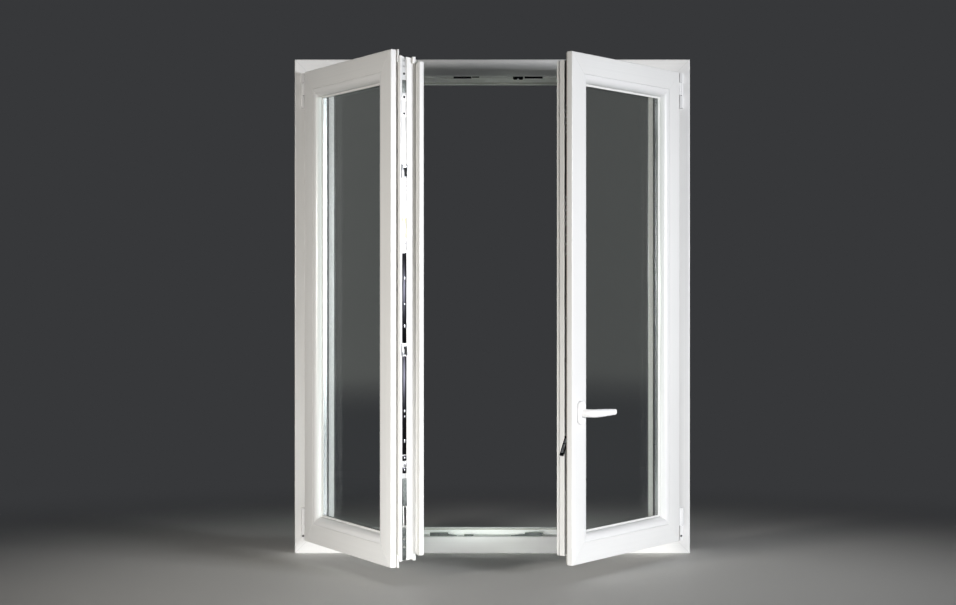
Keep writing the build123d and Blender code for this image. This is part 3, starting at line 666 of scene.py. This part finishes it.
# %% Beads, whose face is (1-q)^2 near + 2q(1-q) control + q^2 far
BEAD_FACE, PANE_FACE, BEAD_FOOT = 0.6, 19, STILE + 0.4
BEAD_MITRE, BEAD_MITRE_DEEP = 0.35, 0.6
q = np.linspace(0, 1, 15)[:, None]
near, control, far = np.array([[BEAD_FACE, STILE + 3], [1.15, STILE + 19.2], [PANE_FACE, SIGHT]])
curve = (1 - q) ** 2 * near + 2 * q * (1 - q) * control + q**2 * far
bead_outline = np.concatenate([[[BEAD_FACE, BEAD_FOOT]], curve, [[PANE_FACE, BEAD_FOOT]]])
for side, box in (("left", LEFT_BOX), ("right", RIGHT_BOX)):
    ring = welded_ring(bead_outline, box, BEAD_MITRE, BEAD_MITRE_DEEP)
    made = piece(f"{side}_glazing_beads", [ring], f"{side}_leaf", pvc_bead, side, loop=True)
    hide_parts(*[f"{side}_bead_{bar}" for bar in ("hinge", "lock", "top", "bottom")])

# %% [markdown]
# ## Glazing gaskets
# On the room side a flat white lip, welded to the bead in the die, lies on the glass. Outside, a
# black gasket lies between the glass and the leaf's lip, and shows as a thin dark line.

# %% Gaskets of both leaves, as (depth, height, corner radius)
INNER_GASKET = np.array([
    (19, 62, 0), (19, 81, 0), (19.8, 82.4, 0.6), (20, 86, 0.8), (22, 86.6, 0.3), (22, 62, 0),
])
OUTER_GASKET = np.array([
    (42, 62, 0), (42, 82.6, 0.8), (43.4, 83.4, 1), (46.8, 82, 0.6), (47, 80.7, 0.3), (45.1, 80.7, 0),
    (45.1, 62, 0),
])
GASKETS = (("inner", INNER_GASKET, lip_rubber), ("outer", OUTER_GASKET, black_rubber))
for side, box in (("left", LEFT_BOX), ("right", RIGHT_BOX)):
    for place, corners, rubber in GASKETS:
        ring = welded_ring(soften(corners[:, :2], corners[:, 2], 3), box, 0.2, 0.1)
        made = piece(f"{side}_{place}_gasket", [ring], f"{side}_leaf", rubber, side, loop=True)
        if place == "inner":
            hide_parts(f"{side}_glazing_gaskets")

# %% [markdown]
# ## Floating mullion
# One profile on the left leaf's edge closes the gap between the two leaves. It is cut square and
# shut at both ends by moulded caps, which slope so that water runs off them.

# %% Mullion section, as (w, d, corner radius)
EDGE = LEFT_BOX[1]  # x of the left leaf's free edge
SLOT_FLOOR, SLOT_FAR, BRIM = 6, 42.5, 12  # the groove's floor and far side, and the w of its brim
COVER_WIDE, COVER_NEAR, COVER_FAR = 32, 72, 86
BODY_END, COVER_END = 68, 76  # how far each stops short of the frame's foot and of its top
INNER_MULLION = np.array([
    (-FLANGE_HEIGHT, 22, 0), (13, 22, 1), (13, 26, 0.8), (BRIM, 26, 0.3), (BRIM, GROOVE_NEAR, 0.6),
    (SLOT_FLOOR, GROOVE_NEAR, 0), (SLOT_FLOOR, SLOT_FAR, 0), (BRIM, SLOT_FAR, 0.6),
    (BRIM, BODY_DEPTH, 0.4), (-FLANGE_HEIGHT, BODY_DEPTH, 0),
])
COVER = np.array([
    (-36, BODY_DEPTH, 1), (9, BODY_DEPTH, 0), (9, COVER_NEAR, 0), (COVER_WIDE, COVER_NEAR, 1),
    (COVER_WIDE, COVER_FAR, 3), (-36, COVER_FAR, 3),
])
inner = soften(INNER_MULLION[:, :2], INNER_MULLION[:, 2]) + (EDGE, LEAF_FACE)
cover = soften(COVER[:, :2], COVER[:, 2]) + (EDGE, LEAF_FACE)
bars = [upright(inner, BODY_END, HEIGHT - BODY_END), upright(cover, COVER_END, HEIGHT - COVER_END)]
mullion = piece("floating_mullion", bars, "left_leaf", pvc, "left")
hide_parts("mullion_profile")

# %% [markdown]
# ## Locking gear in the mullion
# A long zinc-plated strip fills the groove. On it slide two dark polished bars, driven by a
# die-cast lever with a loop for the finger, and catches wait for the bolts of the other leaf. The
# strip and the loop are painted nearly white, a lighter copy of the zinc as painted light for the
# glare that strong light gives them, and the slots in them are painted shade, so slots and screws
# are what the eye picks out.

# %% Boxes and screws on the mullion's edge
def on_groove(w, d, z, edge=0.6):
    """A soft block given as limits of w beyond the left leaf's edge, of depth and of height."""
    return block([EDGE + w[0], EDGE + w[1]], [LEAF_FACE + d[0], LEAF_FACE + d[1]], z, edge)


def pan_head(w, d, z, radius=3.2, high=1.6):
    """A domed screw head with a socket: radius against height, turned about the w axis."""
    profile = [(0, -0.6), (radius * 0.42, -0.6), (radius * 0.46, high * 0.75), (radius * 0.7, high * 0.95),
               (radius * 0.92, high * 0.6), (radius, high * 0.2), (radius, -0.6)]
    return turned(profile, (EDGE + w, LEAF_FACE + d, z), (1, 0, 0), 18)


def painted_hole_disc(w, d, z, radius):
    """Painted shade for a drilled hole: a thin dark disc a tenth of a millimetre over the face."""
    profile = [(0, 0.1), (radius, 0.1), (radius, -0.4), (0, -0.4)]
    return turned(profile, (EDGE + w, LEAF_FACE + d, z), (1, 0, 0), 20)


# %% Strip with its pressed ribs and screws
STRIP = 9.6  # w of the strip's face
MIDDLE = 35.6  # d of the screws, in the middle of the groove
STRIP_ENDS, RIB_ENDS = (68, 1432), (942, 1268)
RAISED = ((1317, 1336), (1273, 1289), (1074, 1098))
strip_parts = [on_groove((6, STRIP), (29.2, 42.3), STRIP_ENDS, 0.4)]
strip_parts += [on_groove((9, 10.6), (29.6, 41.9), span, 0.6) for span in RAISED]
strip_parts += [on_groove((9.3, 10.1), d, RIB_ENDS, 0.3) for d in ((30.4, 32), (39.4, 41))]
strip_parts += [on_groove((9.3, 10.4), (33.4, 38), (z - 3.2, z + 3.2), 0.5) for z in range(1005, 1071, 13)]
strip_parts += [pan_head(11.3, MIDDLE, z) for z in (99, 121)]
strip_parts += [pan_head(9.8, MIDDLE, z, 2.4, 1.2) for z in (1426, 1412)]
strip = piece("gear_strip", strip_parts, "left_leaf", zinc_painted_lit, "left")
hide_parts("gear_plate")

# %% Grey plates, and the holes and slots, drawn dark as painted shade
SLOTS, SLITS = ((1322, 1331), (1278, 1285)), ((1010.5, 1013), (1036.5, 1039), (1062, 1065))
plates = [on_groove((9.4, 10.6), (30, 41.6), (1339, 1374), 0.6)]
plates += [on_groove((9.4, 11), (29.8, 41.8), (63, 152), 0.8)]
plates += [on_groove((10.6, 11.8), (31.5, 40), span, 0.6) for span in ((70, 90), (130, 150))]
piece("gear_grey_plates", plates, "left_leaf", die_cast, "left")
holes = [painted_hole_disc(STRIP, 35.8, 1391, 3.4)] + [painted_hole_disc(10.6, d, 1084.5, 2.5) for d in (32.4, 39.2)]
holes += [on_groove((10, 10.75), (32, 39), span, 0.2) for span in SLOTS]
holes += [on_groove((9, 9.75), (33.6, 38), span, 0.2) for span in SLITS]
# The dark block inside the finger loop is painted shade.
holes += [on_groove((9, 13.4), (31.4, 40), (158, 207), 0.3)]
piece("gear_openings_painted_shade", holes, "left_leaf", painted_hole_shade, "left")

# %% Sliding bars with their bright rivets, and the yellow bar
BARS, HOOKS, YELLOW = ((351, 620), (655, 902)), ((300, 316), (334, 349)), (943, 997)
RIVETS = ((833, 4.5), (762, 3), (702, 5), (470, 4), (455, 3), (388, 5), (342, 3), (309, 3))  # z, half height
bars = [on_groove((9, 12), (29.6, 42.1), span, 1) for span in BARS]
bars += [on_groove((11, 12.8), (30.6, 33.4), (low + 5, high - 4), 0.5) for low, high in BARS]
bars += [on_groove((9, 12.5), (31, 41.5), span, 1) for span in HOOKS]
piece("gear_sliding_bars", bars, "left_leaf", dark_steel, "left")
rivets = [on_groove((11.4, 12.9), (34.4, 38.2), (z - h, z + h), 0.7) for z, h in RIVETS]
rivets += [on_groove((9, 12.6), (35.5, 42), (318, 333), 1)]
rivets += [on_groove((9, 11.6), (30, 41.4), span, 0.8) for span in ((912, 918), (927, 933))]
rivets += [on_groove((9, 11.6), d, (914, 931), 0.8) for d in ((30, 32.6), (38.8, 41.4))]
piece("gear_bright_rivets", rivets, "left_leaf", zinc, "left")
yellow = on_groove((9, 10.8), (29.8, 41.7), YELLOW, 0.8)
piece("gear_yellow_bar", [yellow], "left_leaf", yellow_zinc, "left")

# %% Catches, each a block with an open pocket at its outer side, whose shade is painted by a dark block
CATCHES = ((621, 654), (1107, 1143))
SHELL = (9, 15)  # w of a catch's walls
catches, pocket_shades = [], []
for low, high in CATCHES:
    catches += [on_groove(SHELL, (27, 31.6), (low, high), 1), on_groove(SHELL, (42, 44), (low, high), 0.8)]
    catches += [on_groove(SHELL, (30, 43.4), (high - 9, high), 1)]
    catches += [on_groove(SHELL, (30, 43.4), (low, low + 3), 0.8)]
    catches += [on_groove((9, 13), (30, 35.4), (low, high - 14), 0.8)]
    pocket_shades += [on_groove((9, 11), (31, 43), (low + 2, high - 7), 0.3)]
made = piece("gear_catches", catches, "left_leaf", zinc, "left")
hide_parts("gear_strikers")
piece("gear_catch_pocket_shade", pocket_shades, "left_leaf", painted_hole_shade, "left")

# %% Lever body, as (w, height, corner radius)
LEVER_BODY = np.array([(8.9, 286, 1), (13, 286, 1.5), (16.2, 214, 1.5), (13.5, 208, 1), (9.2, 229, 1)])
body = soften(LEVER_BODY[:, :2], LEVER_BODY[:, 2])
sides = [np.stack([EDGE + body[:, 0], np.full(len(body), LEAF_FACE + d), body[:, 1]], -1)
         for d in (29.8, 41.6)]
lever = piece("gear_lever_body", [np.stack(sides)], "left_leaf", die_cast, "left")
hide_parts("gear_lever")

# %% Finger loop: a bar of oval section, carried round a soft rectangle that leans out
LOOP_TOP, LOOP_FOOT, LOOP_NEAR, LOOP_FAR = 211, 153.5, 30.8, 41
LOOP_W, LOOP_LEAN, LEAN_HEIGHT = 15.2, 2.2, 57  # it leans out by LOOP_LEAN over LEAN_HEIGHT
corners = [(LOOP_NEAR, LOOP_TOP), (LOOP_FAR, LOOP_TOP), (LOOP_FAR, LOOP_FOOT), (LOOP_NEAR, LOOP_FOOT)]
loop_path = soften(corners, [2, 2, 4.4, 4.4], 6)
a = np.linspace(0, 2 * np.pi, 12, endpoint=False)
ahead = np.roll(loop_path, -1, 0) - np.roll(loop_path, 1, 0)
ahead /= np.linalg.norm(ahead, axis=1, keepdims=True)
outward = np.stack([ahead[:, 1], -ahead[:, 0]], 1)[:, None] * np.cos(a)[None, :, None] * 1.25
lean = LOOP_W + (LOOP_TOP - loop_path[:, 1]) / LEAN_HEIGHT * LOOP_LEAN
loop_w = EDGE + lean[:, None] + np.sin(a)[None] * 1.5
loop_dz = loop_path[:, None] + outward
loop_points = np.stack([loop_w, LEAF_FACE + loop_dz[..., 0], loop_dz[..., 1]], -1)
piece("gear_finger_loop", [loop_points], "left_leaf", zinc_painted_lit, "left", loop=True)

# %% [markdown]
# ## Handle
# The rose covers the fixing screws, and the handle is one casting: a round neck that bends into
# a flat lever. A superellipse, |x/a|^n + |y/b|^n = 1, passes from a round to a soft flat section.

# %% Rose
HANDLE_X, HANDLE_Z = RIGHT_BOX[0] + 37, 461
ROSE_WIDE, ROSE_TALL, ROSE_THICK, ROSE_ROUND = 30, 66, 11, 4
BOSS = 9.2


def stadium(width, height, count=64):
    """Outline of a slot, evenly cut by direction: straight sides between two half circles."""
    a = np.linspace(0, 2 * np.pi, count, endpoint=False)
    radius = width / 2
    ends = np.stack([radius * np.cos(a), radius * np.sin(a)], 1)
    return ends + np.sign(np.sin(a) + 1e-9)[:, None] * [[0, height / 2 - radius]]


def rose_rim(t):
    """The rose's rounded brim at angle t: its outline, and how far it stands out of the leaf."""
    less = 2 * ROSE_ROUND * (1 - math.sin(t))
    return stadium(ROSE_WIDE - less, ROSE_TALL - less), 7.5 + 3.5 * math.cos(t)


a = np.linspace(0, 2 * np.pi, 64, endpoint=False)
circle = np.stack([np.cos(a), np.sin(a)], 1)
rows = [(circle * BOSS, 8), (circle * BOSS, 10.6), (circle * (BOSS + 0.4), ROSE_THICK)]
rows += [rose_rim(t) for t in np.linspace(0.05, math.pi / 2, 6)]
rows += [(stadium(ROSE_WIDE, ROSE_TALL), 0.3), (stadium(ROSE_WIDE - 0.6, ROSE_TALL - 0.6), 0)]
rose_grid = np.stack([np.stack([HANDLE_X + o[:, 0], np.full(len(o), LEAF_FACE - out), HANDLE_Z + o[:, 1]], -1)
                      for o, out in rows])
rose = piece("moulded_rose", [rose_grid], "right_leaf", handle_coat, "right", smooth=40)
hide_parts("handle_rose")

# %% Path of the handle: out of the rose, round a bend and along the grip
GRIP_LONG, GRIP_OUT, BEND, TIP = 110, 45.5, 23, 9
t = np.linspace(0, np.pi / 2, 14)
neck = np.stack([np.zeros(8), np.array([8, 8.3, 9, 10, 11.5, 14, 17, 20.0])], 1)
bend = np.stack([BEND - BEND * np.cos(t), GRIP_OUT - BEND + BEND * np.sin(t)], 1)
reach = GRIP_LONG - TIP * (1 - np.sin(np.linspace(0, np.pi / 2, 9)))
straight = np.stack([np.concatenate([np.linspace(27, 98, 12), reach]), np.full(21, GRIP_OUT)], 1)
path = np.concatenate([neck, bend, straight])
ahead = np.gradient(path, axis=0)
ahead /= np.maximum(np.linalg.norm(ahead, axis=1, keepdims=True), 1e-9)
across = np.stack([-ahead[:, 1], ahead[:, 0]], 1)
print("handle path", len(path), "rows")

# %% Handle: half sizes of its section on the way from the neck to the tip
DEEP, HIGH = (10, 6.6), (11.2, 8)  # at the neck and at the tip
flat = np.clip((path[:, 0] - 2) / 40, 0, 1) ** 0.8
end = np.sqrt(np.clip(1 - ((path[:, 0] - (GRIP_LONG - TIP)) / TIP).clip(0) ** 2, 0, 1))
start = np.sqrt(np.clip(1 - ((11.5 - path[:, 1]).clip(0) / 5) ** 2, 0, 1))
taper = np.clip((path[:, 0] - 26) / 84, 0, 1)
half_deep = (DEEP[0] - (DEEP[0] - DEEP[1]) * flat) * end * start
half_high = (HIGH[0] - (HIGH[0] - HIGH[1]) * taper) * (0.4 + 0.6 * end) * (end > 0) * start
lift = -1.2 * np.clip(path[:, 0] / GRIP_LONG, 0, 1)
a = np.linspace(0, 2 * np.pi, 32, endpoint=False)[None]
power = (1 - 0.28 * flat)[:, None]
side_way = np.sign(np.cos(a)) * np.abs(np.cos(a)) ** power * half_deep[:, None]
up_way = np.sign(np.sin(a)) * np.abs(np.sin(a)) ** power * half_high[:, None]
lever_grid = np.stack([HANDLE_X + path[:, :1] + across[:, :1] * side_way,
                       LEAF_FACE - path[:, 1:] - across[:, 1:] * side_way,
                       HANDLE_Z + lift[:, None] + up_way], -1)
made = piece("cast_handle", [lever_grid], "handle", handle_coat, "right", smooth=50)
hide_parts("handle_lever")

# %% [markdown]
# ## Gear in the right leaf's edge
# A near-black bar lies in the groove of the right leaf, nearly flush, with small zinc cams and steps
# that break its line. Its black is painted shade, for the shade deep in the groove. The lifting lever
# leans out of a gap in it: two dark cheeks on a grey web, with a block for a foot. The bar's painted
# shade is what draws the one black line of that edge.

# %% Boxes in the right leaf's groove
def in_groove(w, d, z, edge=0.6):
    """A soft block in limits of w inward from the right leaf's edge, of depth and of height."""
    return block([RIGHT_BOX[0] + w[0], RIGHT_BOX[0] + w[1]], [LEAF_FACE + d[0], LEAF_FACE + d[1]], z, edge)


# %% Black bar of painted groove shade, and its cams
GROOVE_SHADE_BARS, STEPS = ((245, 332), (404, 1438)), ((1080, 1092), (600, 612), (780, 786))
CAMS = ((1312, 2.5), (1296, 4), (1279, 2.5), (1263, 4), (1250, 2), (1238, 3), (1058, 3), (1040, 5),
        (1022, 3), (1004, 4), (985, 6), (952, 3), (928, 4), (900, 3), (723, 3), (607, 4))  # z, half height
bars = [in_groove((20.8, 28.8), (29.3, 38.3), span, 0.7) for span in GROOVE_SHADE_BARS]
bars += [in_groove((19.4, 21.5), (33, 38), span, 0.6) for span in STEPS]
piece("edge_bar_painted_groove_shade", bars, "right_leaf", black_zinc_and_groove_shade, "right")
cams = [in_groove((20.2, 24), (35, 38.9), (z - h, z + h), 0.9) for z, h in CAMS]
piece("edge_zinc_cams", cams, "right_leaf", zinc, "right")

# %% Places on the lifting lever
LIFT = np.array([RIGHT_BOX[0] + 23, LEAF_FACE + 35, 390.0])
LEANS = math.radians(28)


def leaning(grid):
    """Turn points about the lever's pin, so that the foot stands out of the groove."""
    c, s = math.cos(LEANS), math.sin(LEANS)
    x, y, z = np.moveaxis(grid - LIFT, -1, 0)
    return np.stack([x * c + z * s, y, z * c - x * s], -1) + LIFT


def on_lever(x, y, z, edge=0.5):
    """A soft block on the lever, measured from its pin before it leans."""
    return leaning(block(*(np.array([x, y, z]) + LIFT[:, None]), edge))


# %% Lifting lever
RIVET = [(0, 0.9), (1.9, 0.8), (2.9, 0), (2.9, -1.5), (0, -1.5)]
PIN = [(0, -5.7), (2.8, -5.7), (3, -5.4), (3, 5.4), (2.8, 5.7), (0, 5.7)]
web = [on_lever((-2.4, 1.4), (-4.2, 4.2), (-44, 1)), on_lever((-3.4, -1), (-3, 3), (-39, -30), 0.8)]
web += [leaning(turned(RIVET, LIFT + (-2.4, 0, z), (-1, 0, 0), 18)) for z in (-10, -24)]
made = piece("steel_lifter", web, "lifter", zinc, "right")
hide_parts("lifting_lever")
cheeks = [on_lever((-3.4, 2.6), y, (-46, 2.4), 0.6) for y in ((-5.8, -4.4), (4.4, 5.8))]
cheeks += [on_lever((-3.8, 3), (-5.8, 5.8), (-53, -45), 1.2), on_lever((-2.4, 0), (-4.4, 4.4), (-19, -15.5))]
cheeks += [turned(PIN, LIFT, (0, 1, 0), 24)]
piece("lifter_cheeks", cheeks, "lifter", dark_steel, "right")

# %% [markdown]
# ## Marks on the hinges
# Each lower hinge has a hole for the hexagon key that lifts the leaf, and a fine gap shows between
# the knuckles. Both are drawn as dark discs of painted shade. They are small, but they are the only
# dark points on the white edges.

# %% Key holes and gaps, as discs of painted shade
KNUCKLE_FACE = LEAF_FACE - 3
MARKS = [(x, z, radius) for x in (-AXIS_X, AXIS_X) for z, radius in ((57, 3.2), (1387, 1.2), (1425.5, 1.2))]
MARKS += [(AXIS_X, 138, 1.2)]
marks = []
for x, z, radius in MARKS:
    disc = [(0, 0.15), (radius, 0.15), (radius, -0.5), (0, -0.5)]
    marks += [turned(disc, (x, KNUCKLE_FACE, z), (0, -1, 0), 20)]
piece("hinge_holes_painted_shade", marks, "frame", painted_hole_shade)
